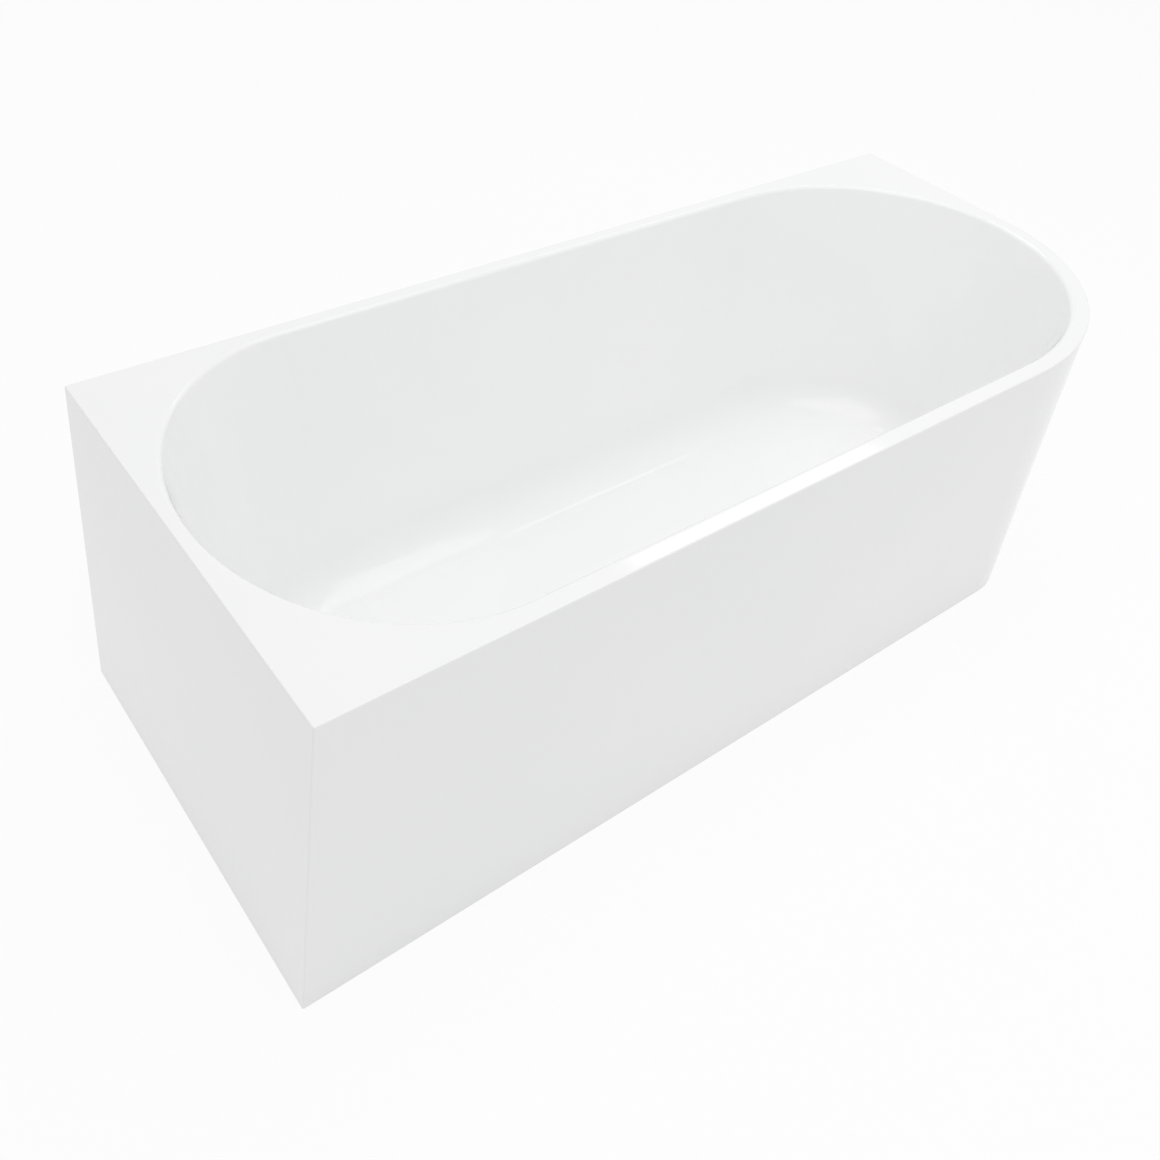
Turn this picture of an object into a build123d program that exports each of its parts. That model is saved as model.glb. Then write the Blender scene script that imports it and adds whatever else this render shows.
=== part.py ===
from build123d import *
import math
import os

os.makedirs("parts", exist_ok=True)

# Back-to-wall corner bath in white acrylic, on a steel frame with levelling feet.
# Millimetres. Origin on the floor under the middle of the bath. X runs along the back wall,
# +Y points at the back wall, and the end at -X stands against the side wall.

# Overall sizes
bath_length = 1700.0
bath_width = 700.0
bath_height = 560.0

# Sheet thicknesses and small rounds
tub_wall = 6.0
skirt_wall = 5.0
edge_round = 2.0
lip_round = 8.0

# How far a cutting shape runs past the face it cuts
cut_margin = 1.0

# Flat rim left between the basin and the outer edge
rim_front = 28.0
rim_back = 24.0
rim_left = 20.0
rim_right = 32.0

# Basin, with the reach of its half-ellipse ends along the bath
basin_left_reach = 290.0
basin_right_reach = 370.0
floor_left_reach = 250.0
floor_right_reach = 300.0
floor_height = 128.0
floor_fall = 8.0
side_slope = 125.0
left_slope = 100.0
right_slope = 165.0
floor_round = 80.0

# Lean of the skirt and its corner at the floor
front_lean = 30.0
end_lean = 85.0
foot_corner_long = 195.0
foot_corner_deep = 300.0
return_width = 25.0

# Stiffeners bonded to the shells
bead_size = 8.0
bond_gap = 0.3
pad_leg = 230.0
pad_thickness = 12.0
batten_height = 40.0
stiffener_thickness = 12.0
stiffener_height = 50.0
stiffener_underside_height = 270.0
stiffener_left = 60.0
stiffener_right = 430.0
block_width = 60.0

# Base board under the floor of the basin
board_thickness = 15.0
board_width = 370.0
board_left = 130.0
board_right = 230.0
board_corner = 60.0
board_hole_radius = 50.0

# Steel frame
tube_size = 30.0
tube_wall = 2.0
tube_round = 3.0
rail_spacing = 230.0
rail_from_floor_end = 25.0
cross_rail_from_side = 55.0
cross_rail_from_rail_end = 220.0
cap_plate = 3.0
cap_plug = 10.0
cap_fit = 0.15

# Screws through the long rails into the board
screws_in_rail = 4
screw_from_rail_end = 105.0
screw_radius = 2.5
screw_head_radius = 6.0
screw_head_height = 4.0
screw_head_round = 1.2
screw_bite = 12.0
screw_fit = 0.05
screw_hole_radius = 3.0

# Levelling feet
foot_from_rail_end = 35.0
foot_travel = 20.0
stud_radius = 6.0
stud_fit = 0.05
stud_chamfer = 1.0
stud_end_margin = 1.0
stud_hole_radius = 6.5
nut_flats = 18.0
nut_height = 10.0
collar_flats = 17.0
collar_height = 8.0
neck_radius = 5.0
ball_radius = 8.0
socket_fit = 0.15
socket_floor = 6.0
pad_radius = 28.0
pad_edge = 4.0
pad_hub_radius = 13.0
pad_shoulder = 15.5
pad_height = 18.5
part_gap = 0.3

# Pop-up waste
waste_from_floor_end = 120.0
drain_radius = 26.0
dish_radius = 37.0
dish_depth = 4.0
flange_radius = 35.0
flange_thickness = 2.5
flange_round = 0.8
barrel_radius = 23.9
barrel_bore = 20.0
barrel_length = 73.0
relief_width = 3.0
relief_depth = 1.2
seat_depth = 4.0
thread_fit = 0.05
gasket_bore = 24.2
upper_gasket_radius = 34.0
upper_gasket_thickness = 1.5
lower_gasket_thickness = 3.0
washer_thickness = 1.5
washer_radius = 36.0
back_nut_radius = 33.0
back_nut_height = 10.0
back_nut_lugs = 8
lug_radius = 4.0
web_level = 20.0
web_height = 8.0
web_thickness = 3.0
web_count = 3
web_hub_radius = 11.0
cartridge_radius = 8.0
cartridge_fit = 0.05
cartridge_collar_radius = 10.5
cartridge_collar = 2.0
cartridge_length = 20.0
stem_radius = 4.0
stem_fit = 0.05
stem_below = 2.0
cap_radius = 31.0
cap_thickness = 3.5
cap_crown = 1.5
cap_round = 1.5
seal_hub_play = 2.1
seal_hub_depth = 4.0
seal_section = 1.8
seal_stretch = 1.3

# Worked out from the sizes above
left = -bath_length / 2
right = bath_length / 2
front = -bath_width / 2
back = bath_width / 2
skirt_top = bath_height - tub_wall
basin_half = (bath_width - rim_front - rim_back) / 2
basin_mid = (rim_front - rim_back) / 2
basin_left = left + rim_left
basin_right = right - rim_right
floor_half = basin_half - side_slope
floor_left = basin_left + left_slope
floor_right = basin_right - right_slope
rim_corner_long = basin_right_reach + rim_right
rim_corner_deep = basin_half + rim_front

tub_underside = floor_height - tub_wall
board_bottom = tub_underside - board_thickness
long_rail_bottom = board_bottom - tube_size
cross_rail_bottom = long_rail_bottom - tube_size
cross_rail_top = long_rail_bottom
rail_y = rail_spacing / 2
rail_left = floor_left + rail_from_floor_end
rail_right = floor_right - rail_from_floor_end
cross_rail_length = bath_width - 2 * cross_rail_from_side
cross_rail_places = (
    rail_left + cross_rail_from_rail_end,
    (rail_left + rail_right) / 2,
    rail_right - cross_rail_from_rail_end,
)
screw_step = (rail_right - rail_left - 2 * screw_from_rail_end) / (screws_in_rail - 1)
screw_places = [rail_left + screw_from_rail_end + number * screw_step for number in range(screws_in_rail)]

foot_y = cross_rail_length / 2 - foot_from_rail_end
foot_places = (
    (cross_rail_places[0], -foot_y),
    (cross_rail_places[0], foot_y),
    (cross_rail_places[1], 0.0),
    (cross_rail_places[2], -foot_y),
    (cross_rail_places[2], foot_y),
)
ball_level = socket_floor + ball_radius + socket_fit
weld_nut_bottom = cross_rail_bottom - nut_height
collar_top = weld_nut_bottom - part_gap
collar_bottom = collar_top - collar_height
stud_top = cross_rail_top + nut_height + foot_travel - stud_end_margin

waste_x = floor_left + waste_from_floor_end
dish_seat = floor_height - dish_depth
dish_underside = dish_seat - tub_wall
flange_top = dish_seat + upper_gasket_thickness + flange_thickness
barrel_bottom = flange_top - barrel_length
nut_top = dish_underside - lower_gasket_thickness - washer_thickness
relief_top = nut_top - back_nut_height - part_gap
web_bottom = flange_top - web_level
hub_top = web_bottom + web_height
cap_bottom = flange_top + part_gap
seal_hub_radius = barrel_bore - seal_hub_play
seal_ring_radius = seal_hub_radius + seal_stretch
seal_rise = seal_ring_radius - barrel_bore + math.sqrt(2) * (seal_section + part_gap)
seal_level = flange_top - seat_depth + seal_rise
stem_bottom = hub_top + cartridge_collar - cartridge_length - stem_below

low = (Align.CENTER, Align.CENTER, Align.MIN)


def blend(at_zero, at_one, share):
    """Value between two ends, also beyond them."""
    return at_zero + (at_one - at_zero) * share


def quarter(centre_x, centre_y, reach_x, reach_y, start):
    """Quarter of an ellipse."""
    return EllipticalCenterArc((centre_x, centre_y), reach_x, reach_y, start, arc_size=90)


def box_between(x0, x1, y0, y1, z0, z1):
    """Box given by its two corners."""
    middle = Pos((x0 + x1) / 2, (y0 + y1) / 2, (z0 + z1) / 2)
    return middle * Box(x1 - x0, y1 - y0, z1 - z0)


def ring(outer_radius, inner_radius, height):
    """Flat ring standing on z = 0."""
    return Cylinder(outer_radius, height, align=low) - Cylinder(inner_radius, height, align=low)


def hexagon(flats, height):
    """Hexagonal prism standing on z = 0."""
    return extrude(RegularPolygon(flats / 2, 6, major_radius=False), height)


# Plan outline of the bath body, pulled in by an inset, at any height of the skirt
def body_outline(z, inset, back_line=back, rounded=False):
    share = z / skirt_top
    x0 = left + inset
    x1 = blend(right - end_lean, right, share) - inset
    y0 = blend(front + front_lean, front, share) + inset
    reach_x = blend(foot_corner_long, rim_corner_long, share) - inset
    reach_y = blend(foot_corner_deep, rim_corner_deep, share) - inset
    edges = [
        Line((x0, y0), (x1 - reach_x, y0)),
        quarter(x1 - reach_x, y0 + reach_y, reach_x, reach_y, 270),
        Polyline((x1, y0 + reach_y), (x1, back_line), (x0, back_line), (x0, y0)),
    ]
    face = make_face(edges)
    if rounded:
        sharp = [v for v in face.vertices() if v.X < x0 + edge_round or v.Y > back_line - edge_round]
        face = fillet(sharp, edge_round)
    return Pos(0, 0, z) * face


def body_block(z0, z1, inset, back_line=back, rounded=False):
    """Solid inside the body outline, between two heights."""
    lower = body_outline(z0, inset, back_line, rounded)
    upper = body_outline(z1, inset, back_line, rounded)
    return loft([lower, upper], ruled=True)


# Plan outline of the basin: straight sides joined by half ellipses, grown by a margin
def basin_outline(z, grow):
    share = (z - floor_height) / (bath_height - floor_height)
    x0 = blend(floor_left, basin_left, share) - grow
    x1 = blend(floor_right, basin_right, share) + grow
    half = blend(floor_half, basin_half, share) + grow
    reach0 = blend(floor_left_reach, basin_left_reach, share) + grow
    reach1 = blend(floor_right_reach, basin_right_reach, share) + grow
    edges = [
        Line((x0 + reach0, -half), (x1 - reach1, -half)),
        quarter(x1 - reach1, 0, reach1, half, 270),
        quarter(x1 - reach1, 0, reach1, half, 0),
        Line((x1 - reach1, half), (x0 + reach0, half)),
        quarter(x0 + reach0, 0, reach0, half, 90),
        quarter(x0 + reach0, 0, reach0, half, 180),
    ]
    return Pos(0, basin_mid, 0) * make_face(edges)


# Basin shape, from its rounded floor edge up past the rim
def basin_block(grow, fall):
    bottom = floor_height - grow
    top = bath_height + tub_wall
    tilt = math.degrees(math.atan(fall / (floor_right - floor_left)))
    floor_plane = Pos(floor_left, 0, bottom) * Rot(0, -tilt, 0) * Pos(-floor_left, 0, 0)
    lower = floor_plane * basin_outline(bottom, grow)
    upper = Pos(0, 0, top) * basin_outline(top, grow)
    block = loft([lower, upper], ruled=True)
    floor_edges = block.faces().sort_by(Axis.Z)[0].edges()
    return fillet(floor_edges, floor_round + grow)


def make_tub():
    """Deck and basin formed in one sheet, dished and pierced for the waste."""
    deck_face = body_outline(skirt_top, 0, rounded=True)
    deck = extrude(deck_face, tub_wall, dir=(0, 0, 1))
    above_deck = box_between(left, right, front, back, bath_height, bath_height + 2 * tub_wall)
    tub = deck + (basin_block(tub_wall, 0) - above_deck)
    tub += Pos(waste_x, 0, dish_underside) * Cylinder(dish_radius + tub_wall, 2 * dish_depth, align=low)
    tub -= basin_block(0, floor_fall)
    tub -= Pos(waste_x, 0, dish_seat) * Cylinder(dish_radius, 2 * dish_depth, align=low)
    tub -= Pos(waste_x, 0, dish_underside) * Cylinder(drain_radius, 2 * tub_wall, align=low)
    top = tub.faces().sort_by(Axis.Z)[-1]
    tub = fillet(top.inner_wires()[0].edges(), lip_round)
    top = tub.faces().sort_by(Axis.Z)[-1]
    return fillet(top.outer_wire().edges(), edge_round)


def make_skirt():
    """Left end, front and rounded right end in one shell, open to the wall and the floor."""
    inside = body_block(skirt_wall, skirt_top + cut_margin, skirt_wall, back - skirt_wall)
    opening = body_block(-cut_margin, skirt_top + cut_margin, return_width, back + cut_margin)
    return body_block(0, skirt_top, 0, rounded=True) - inside - opening


def skirt_inside(z0, z1):
    """Space that the skirt encloses between two heights."""
    return body_block(z0, z1, skirt_wall, back - skirt_wall)


def make_bead():
    """Adhesive bead in the corner between the skirt and the deck."""
    lower = body_outline(skirt_top - bead_size, skirt_wall + bond_gap, back + cut_margin)
    upper = body_outline(skirt_top, skirt_wall + bead_size, back + cut_margin)
    return skirt_inside(skirt_top - bead_size, skirt_top) - loft([lower, upper], ruled=True)


def make_deck_pad(side_x, side_y):
    """Plywood pad under a flat corner of the deck, cut to follow the basin."""
    inset = skirt_wall + bead_size + bond_gap
    x_outer = side_x * (bath_length / 2 - inset)
    y_outer = front + inset if side_y < 0 else back - skirt_wall
    x_inner = x_outer - side_x * pad_leg
    y_inner = y_outer - side_y * pad_leg
    pad = box_between(
        min(x_outer, x_inner), max(x_outer, x_inner),
        min(y_outer, y_inner), max(y_outer, y_inner),
        skirt_top - pad_thickness, skirt_top,
    )
    space = body_block(skirt_top - pad_thickness, skirt_top, inset, back - skirt_wall)
    return (pad & space) - basin_block(tub_wall + bond_gap, 0)


def make_back_batten():
    """Batten under the rim along the wall, between the two pads at the back."""
    x_end = bath_length / 2 - skirt_wall - bead_size - pad_leg - 2 * bond_gap
    y_inner = basin_mid + basin_half + tub_wall + bond_gap
    return box_between(-x_end, x_end, y_inner, back - skirt_wall, skirt_top - batten_height, skirt_top)


def make_stiffener():
    """Strip bonded along the inside of the front panel."""
    bottom = stiffener_underside_height
    top = bottom + stiffener_height
    layer = skirt_inside(bottom, top)
    layer -= body_block(bottom, top, skirt_wall + stiffener_thickness, back)
    return layer & box_between(left + stiffener_left, right - stiffener_right, front, 0, bottom, top)


def make_skirt_block(x):
    """Block between the skirt and the end of a cross rail, standing on the skirt's foot."""
    rail_end = -cross_rail_length / 2 - cap_plate
    block = box_between(
        x - block_width / 2, x + block_width / 2, front, rail_end, skirt_wall, cross_rail_top
    )
    return block & skirt_inside(skirt_wall, cross_rail_top)


def make_board():
    """Board bonded under the floor of the basin, with pilot holes and a hole for the waste."""
    x0 = basin_left + board_left
    x1 = basin_right - board_right
    plan = Pos((x0 + x1) / 2, 0) * Rectangle(x1 - x0, board_width)
    plan = chamfer(plan.vertices(), board_corner)
    board = extrude(Pos(0, 0, board_bottom) * plan, board_thickness)
    board -= Pos(waste_x, 0, board_bottom) * Cylinder(board_hole_radius, board_thickness, align=low)
    for x, y in screw_points():
        pilot = Cylinder(screw_radius + screw_fit, screw_bite + screw_fit, align=low)
        board -= Pos(x, y, board_bottom) * pilot
    return board


def square_tube(length):
    """Square steel tube lying along X, centred on the origin."""
    profile = RectangleRounded(tube_size, tube_size, tube_round)
    profile -= RectangleRounded(
        tube_size - 2 * tube_wall, tube_size - 2 * tube_wall, tube_round - tube_wall
    )
    return extrude(Plane.YZ * profile, length / 2, both=True)


def screw_points():
    """Plan positions of the screws into the board."""
    return [(x, y) for y in (-rail_y, rail_y) for x in screw_places]


def make_long_rail(y):
    """Rail under the board, drilled for the board screws."""
    rail = Pos((rail_left + rail_right) / 2, y, long_rail_bottom + tube_size / 2)
    tube = rail * square_tube(rail_right - rail_left)
    for x in screw_places:
        tube -= Pos(x, y, long_rail_bottom) * Cylinder(screw_hole_radius, tube_size, align=low)
    return tube


def make_cross_rail(x):
    """Rail across the bath, drilled for the studs of its feet."""
    rail = Pos(x, 0, cross_rail_bottom + tube_size / 2) * Rot(0, 0, 90)
    tube = rail * square_tube(cross_rail_length)
    for foot_x, foot_at in foot_places:
        if foot_x == x:
            hole = Cylinder(stud_hole_radius, tube_size, align=low)
            tube -= Pos(x, foot_at, cross_rail_bottom) * hole
    return tube


def end_cap():
    """Plastic cap whose plate lies on the end of a tube at x = 0."""
    plate = extrude(Plane.YZ * RectangleRounded(tube_size, tube_size, tube_round), cap_plate)
    bore = tube_size - 2 * tube_wall - 2 * cap_fit
    plug = extrude(Plane.YZ * RectangleRounded(bore, bore, tube_round - tube_wall), -cap_plug)
    hollow = bore - 2 * tube_wall
    core = extrude(Plane.YZ * Rectangle(hollow, hollow), -cap_plug)
    return plate + (plug - core)


def make_end_caps():
    """Caps in both ends of all five rails."""
    caps = []
    for y in (-rail_y, rail_y):
        z = long_rail_bottom + tube_size / 2
        caps.append(Pos(rail_right, y, z) * end_cap())
        caps.append(Pos(rail_left, y, z) * Rot(0, 0, 180) * end_cap())
    for x in cross_rail_places:
        z = cross_rail_bottom + tube_size / 2
        caps.append(Pos(x, cross_rail_length / 2, z) * Rot(0, 0, 90) * end_cap())
        caps.append(Pos(x, -cross_rail_length / 2, z) * Rot(0, 0, -90) * end_cap())
    return Compound(caps)


def make_board_screws():
    """Pan-head screws up through the long rails."""
    length = tube_size + screw_bite
    screws = []
    for x, y in screw_points():
        shank = Cylinder(screw_radius, length, align=low)
        head = Pos(0, 0, -screw_head_height) * Cylinder(screw_head_radius, screw_head_height, align=low)
        head = fillet(head.edges().sort_by(Axis.Z)[0], screw_head_round)
        screws.append(Pos(x, y, long_rail_bottom) * (shank + head))
    return Compound(screws)


def make_foot_nuts(level):
    """One hexagonal nut for each foot, with its underside at the level given."""
    nut = hexagon(nut_flats, nut_height) - Cylinder(stud_radius + stud_fit, nut_height, align=low)
    return Compound([Pos(x, y, level) * nut for x, y in foot_places])


def make_stud(x, y):
    """Threaded stud with a spanner collar, a neck and a ball."""
    stud = Pos(0, 0, collar_bottom) * hexagon(collar_flats, collar_height)
    stud += Pos(0, 0, collar_top) * Cylinder(stud_radius, stud_top - collar_top, align=low)
    stud = chamfer(stud.edges().sort_by(Axis.Z)[-1], stud_chamfer)
    stud += Pos(0, 0, ball_level) * Cylinder(neck_radius, collar_bottom - ball_level, align=low)
    stud += Pos(0, 0, ball_level) * Sphere(ball_radius)
    return Pos(x, y, 0) * stud


def make_foot_pad(x, y):
    """Moulded pad with a dished top and a snap-in socket for the ball."""
    profile = Polyline(
        (0, 0), (pad_radius, 0), (pad_radius, pad_edge), (pad_hub_radius, pad_shoulder),
        (pad_hub_radius, pad_height), (0, pad_height), close=True,
    )
    pad = revolve(Plane.XZ * make_face(profile), Axis.Z)
    pad -= Pos(0, 0, ball_level) * Sphere(ball_radius + socket_fit)
    return Pos(x, y, 0) * pad


def make_flange():
    """Waste flange with a coned seat, a three-arm web and a barrel relieved below its back nut."""
    body = Pos(0, 0, flange_top - flange_thickness) * Cylinder(flange_radius, flange_thickness, align=low)
    body = fillet(body.edges().sort_by(Axis.Z)[-1], flange_round)
    body += Pos(0, 0, barrel_bottom) * Cylinder(barrel_radius, barrel_length - flange_thickness, align=low)
    relief = ring(barrel_radius + cut_margin, barrel_radius - relief_depth, relief_width)
    body -= Pos(0, 0, relief_top - relief_width) * relief
    body -= Pos(0, 0, barrel_bottom) * Cylinder(barrel_bore, barrel_length, align=low)
    body -= Pos(0, 0, flange_top - seat_depth) * Cone(
        barrel_bore, barrel_bore + seat_depth, seat_depth, align=low
    )
    arm = box_between(0, barrel_bore + cut_margin, -web_thickness / 2, web_thickness / 2, 0, web_height)
    web = Cylinder(web_hub_radius, web_height, align=low)
    for number in range(web_count):
        web += Rot(0, 0, number * 360 / web_count) * arm
    body += Pos(0, 0, web_bottom) * web
    body -= Pos(0, 0, web_bottom) * Cylinder(cartridge_radius + cartridge_fit, web_height, align=low)
    return Pos(waste_x, 0, 0) * body


def make_waste_ring(bottom, outer_radius, height):
    """Gasket or washer round the barrel."""
    return Pos(waste_x, 0, bottom) * ring(outer_radius, gasket_bore, height)


def make_back_nut():
    """Hand nut with round lugs under the tub."""
    nut = Cylinder(back_nut_radius, back_nut_height, align=low)
    for number in range(back_nut_lugs):
        lug = Pos(back_nut_radius, 0, 0) * Cylinder(lug_radius, back_nut_height, align=low)
        nut += Rot(0, 0, number * 360 / back_nut_lugs) * lug
    nut -= Cylinder(barrel_radius + thread_fit, back_nut_height, align=low)
    return Pos(waste_x, 0, nut_top - back_nut_height) * nut


def make_cartridge():
    """Sleeve of the push mechanism, hanging by its collar on the web."""
    sleeve = Pos(0, 0, -cartridge_length) * Cylinder(cartridge_radius, cartridge_length, align=low)
    sleeve += Pos(0, 0, -cartridge_collar) * Cylinder(cartridge_collar_radius, cartridge_collar, align=low)
    sleeve -= Pos(0, 0, -cartridge_length) * Cylinder(stem_radius + stem_fit, cartridge_length, align=low)
    return Pos(waste_x, 0, hub_top + cartridge_collar) * sleeve


def seal_ring(section):
    """Ring of the plug's seal, in its place."""
    return Pos(0, 0, seal_level) * Torus(seal_ring_radius, section)


def make_plug():
    """Domed plug with a stem and a grooved hub for its seal."""
    cap = Pos(0, 0, cap_bottom) * Cylinder(cap_radius, cap_thickness, align=low)
    cap = fillet(cap.edges().sort_by(Axis.Z)[-1], cap_round)
    dome_radius = (cap_radius ** 2 + cap_crown ** 2) / (2 * cap_crown)
    crown = Pos(0, 0, cap_bottom + cap_thickness + cap_crown - dome_radius) * Sphere(dome_radius)
    cap = (cap + Pos(0, 0, cap_bottom + cap_thickness) * Cylinder(
        cap_radius - cap_round, cap_crown, align=low
    )) & crown
    cap += Pos(0, 0, cap_bottom - seal_hub_depth) * Cylinder(seal_hub_radius, seal_hub_depth, align=low)
    cap -= seal_ring(seal_section + thread_fit)
    cap += Pos(0, 0, stem_bottom) * Cylinder(stem_radius, cap_bottom - stem_bottom, align=low)
    return Pos(waste_x, 0, 0) * cap


def make_plug_seal():
    """Rubber ring round the hub of the plug."""
    return Pos(waste_x, 0, 0) * seal_ring(seal_section)


parts = {
    "tub_shell": make_tub(),
    "skirt_shell": make_skirt(),
    "rim_bond_bead": make_bead(),
    "deck_pad_front_left": make_deck_pad(-1, -1),
    "deck_pad_back_left": make_deck_pad(-1, 1),
    "deck_pad_back_right": make_deck_pad(1, 1),
    "back_batten": make_back_batten(),
    "front_stiffener": make_stiffener(),
    "base_board": make_board(),
    "frame_rail_front": make_long_rail(-rail_y),
    "frame_rail_back": make_long_rail(rail_y),
    "rail_end_caps": make_end_caps(),
    "board_screws": make_board_screws(),
    "foot_weld_nuts": make_foot_nuts(weld_nut_bottom),
    "foot_lock_nuts": make_foot_nuts(cross_rail_top),
    "waste_flange": make_flange(),
    "waste_upper_gasket": make_waste_ring(dish_seat, upper_gasket_radius, upper_gasket_thickness),
    "waste_lower_gasket": make_waste_ring(
        dish_underside - lower_gasket_thickness, washer_radius, lower_gasket_thickness
    ),
    "waste_slip_washer": make_waste_ring(nut_top, washer_radius, washer_thickness),
    "waste_back_nut": make_back_nut(),
    "waste_cartridge": make_cartridge(),
    "waste_plug": make_plug(),
    "plug_seal": make_plug_seal(),
}

for side, x in zip(("left", "middle", "right"), cross_rail_places):
    parts[f"cross_rail_{side}"] = make_cross_rail(x)
    parts[f"skirt_block_{side}"] = make_skirt_block(x)

for number, (x, y) in enumerate(foot_places, 1):
    parts[f"foot_stud_{number}"] = make_stud(x, y)
    parts[f"foot_pad_{number}"] = make_foot_pad(x, y)

for name, shape in parts.items():
    export_step(shape, f"parts/{name}.step")
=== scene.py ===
import math

import bmesh
import bpy
from bpy.props import FloatProperty, FloatVectorProperty, IntProperty, PointerProperty
from mathutils import Matrix, Vector


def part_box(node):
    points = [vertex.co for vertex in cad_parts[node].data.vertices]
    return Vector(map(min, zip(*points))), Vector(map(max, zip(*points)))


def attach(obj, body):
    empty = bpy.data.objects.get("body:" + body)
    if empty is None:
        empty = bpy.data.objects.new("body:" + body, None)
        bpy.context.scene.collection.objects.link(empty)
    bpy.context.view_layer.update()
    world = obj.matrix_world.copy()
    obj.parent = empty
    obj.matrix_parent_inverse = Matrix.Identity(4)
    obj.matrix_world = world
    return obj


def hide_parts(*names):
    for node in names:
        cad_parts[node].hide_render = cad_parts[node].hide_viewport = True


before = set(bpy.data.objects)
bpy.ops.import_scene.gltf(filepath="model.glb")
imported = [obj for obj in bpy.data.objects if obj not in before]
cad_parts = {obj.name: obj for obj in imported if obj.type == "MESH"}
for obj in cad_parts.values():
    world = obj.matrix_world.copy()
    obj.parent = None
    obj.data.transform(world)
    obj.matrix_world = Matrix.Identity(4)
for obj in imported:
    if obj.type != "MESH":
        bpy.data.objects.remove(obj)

bl_info = {
    "name": "Corner Bath Workshop",
    "version": (1, 0, 0),
    "blender": (4, 5, 0),
    "location": "3D View > Sidebar > Bath",
    "description": "Finishes an acrylic corner bath with its frame, feet, waste and studio",
    "category": "Object",
}

FEET = range(1, 6)
MM = 0.001

# Points closer than this are one point
SAME_POINT = 0.001 * MM

# How far shapes that are joined run into each other
OVERLAP = MM

# Edges that turn by more than this are rounded
SHARP_TURN = math.radians(35)

# Cone that takes the corners off a nut, as a share of its width across flats
NUT_CONE = 0.475

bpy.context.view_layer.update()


# Settings

def colour_setting(name, description, default):
    """Colour that a user would change."""
    return FloatVectorProperty(
        name=name, description=description, default=default, subtype="COLOR", size=3, min=0, max=1
    )


def length_setting(name, description, default_mm):
    """Length that a user would change, given in millimetres."""
    return FloatProperty(
        name=name, description=description, default=default_mm * MM,
        unit="LENGTH", subtype="DISTANCE", min=0,
    )


def share_setting(name, description, default):
    """Share from 0 to 1 that a user would change."""
    return FloatProperty(
        name=name, description=description, default=default, subtype="FACTOR", min=0, max=1
    )


def angle_setting(name, description, degrees):
    """Angle that a user would change, given in degrees."""
    return FloatProperty(
        name=name, description=description, default=math.radians(degrees), subtype="ANGLE"
    )


def number_setting(name, description, default, unit="NONE"):
    """Plain number that a user would change."""
    return FloatProperty(name=name, description=description, default=default, unit=unit, min=0)


class BathFinishes(bpy.types.PropertyGroup):
    """Colours and gloss of the bath's materials."""

    acrylic: colour_setting("Acrylic", "Gloss white sheet of tub and skirt", (0.965, 0.965, 0.965))
    acrylic_roughness: share_setting("Acrylic roughness", "Softness of the sheet's gloss", 0.07)
    resin: colour_setting("Resin", "Backing resin behind the sheet", (0.64, 0.62, 0.56))
    strand: colour_setting("Glass strand", "Chopped glass strands in the resin", (0.82, 0.81, 0.77))
    adhesive: colour_setting("Adhesive", "Bead between the skirt and the deck", (0.80, 0.79, 0.74))
    chip_light: colour_setting("Light chips", "Pale chips of the base board", (0.66, 0.51, 0.34))
    chip_dark: colour_setting("Dark chips", "Dark chips of the base board", (0.27, 0.17, 0.09))
    ply_light: colour_setting("Face ply", "Plies with grain along the piece", (0.70, 0.54, 0.34))
    ply_dark: colour_setting("Cross ply", "Plies that show their end grain", (0.47, 0.32, 0.18))
    zinc_cool: colour_setting("Cool zinc", "Bluish part of the zinc plating", (0.56, 0.58, 0.60))
    zinc_warm: colour_setting("Warm zinc", "Yellowish part of the zinc plating", (0.64, 0.62, 0.55))
    foot_plastic: colour_setting("Foot plastic", "Black pads and tube caps", (0.028, 0.028, 0.030))
    nut_plastic: colour_setting("Nut plastic", "Back nut, washer and cartridge", (0.76, 0.76, 0.73))
    chrome: colour_setting("Chrome", "Plug and waste flange", (0.80, 0.81, 0.83))
    rubber: colour_setting("Rubber", "Gaskets and plug seal", (0.030, 0.030, 0.030))
    dust: colour_setting("Dust", "Sawdust and dust under the bath", (0.56, 0.53, 0.47))


class FootSizes(bpy.types.PropertyGroup):
    """Sizes of the threaded studs, nuts and pads of the feet."""

    pitch: length_setting("Thread pitch", "Coarse M12 pitch", 1.75)
    thread_depth: length_setting("Thread depth", "From crest to root", 1.07)
    stud_radius: length_setting("Stud radius", "Outside of the thread", 6.0)
    collar_flats: length_setting("Collar across flats", "Spanner size of the stud's collar", 17.0)
    collar_bottom: length_setting("Collar level", "Underside of the collar above the floor", 28.7)
    collar_height: length_setting("Collar height", "Height of the collar", 8.0)
    neck_radius: length_setting("Neck radius", "Neck between the collar and the ball", 5.0)
    ball_radius: length_setting("Ball radius", "Ball that sits in the pad", 8.0)
    socket_fit: length_setting("Socket fit", "Room round the ball in the pad", 0.15)
    socket_floor: length_setting("Socket floor", "Plastic below the ball", 6.0)
    nut_flats: length_setting("Nut across flats", "Spanner size of the nuts", 18.0)
    nut_fit: length_setting("Nut fit", "Room between a nut and the stud", 0.05)
    pad_edge: length_setting("Pad edge", "Height of the pad's rim", 4.0)
    pad_web: length_setting("Pad web", "Height of the web between the ribs", 8.5)
    pad_hub: length_setting("Pad hub", "Radius of the socket's hub", 13.0)
    rib_top: length_setting("Rib top", "Height of the ribs at the hub", 15.4)
    rib_thickness: length_setting("Rib thickness", "Thickness of a moulded rib", 1.8)
    ribs: IntProperty(name="Ribs", description="Number of ribs on a pad", default=8, min=3)


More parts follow.
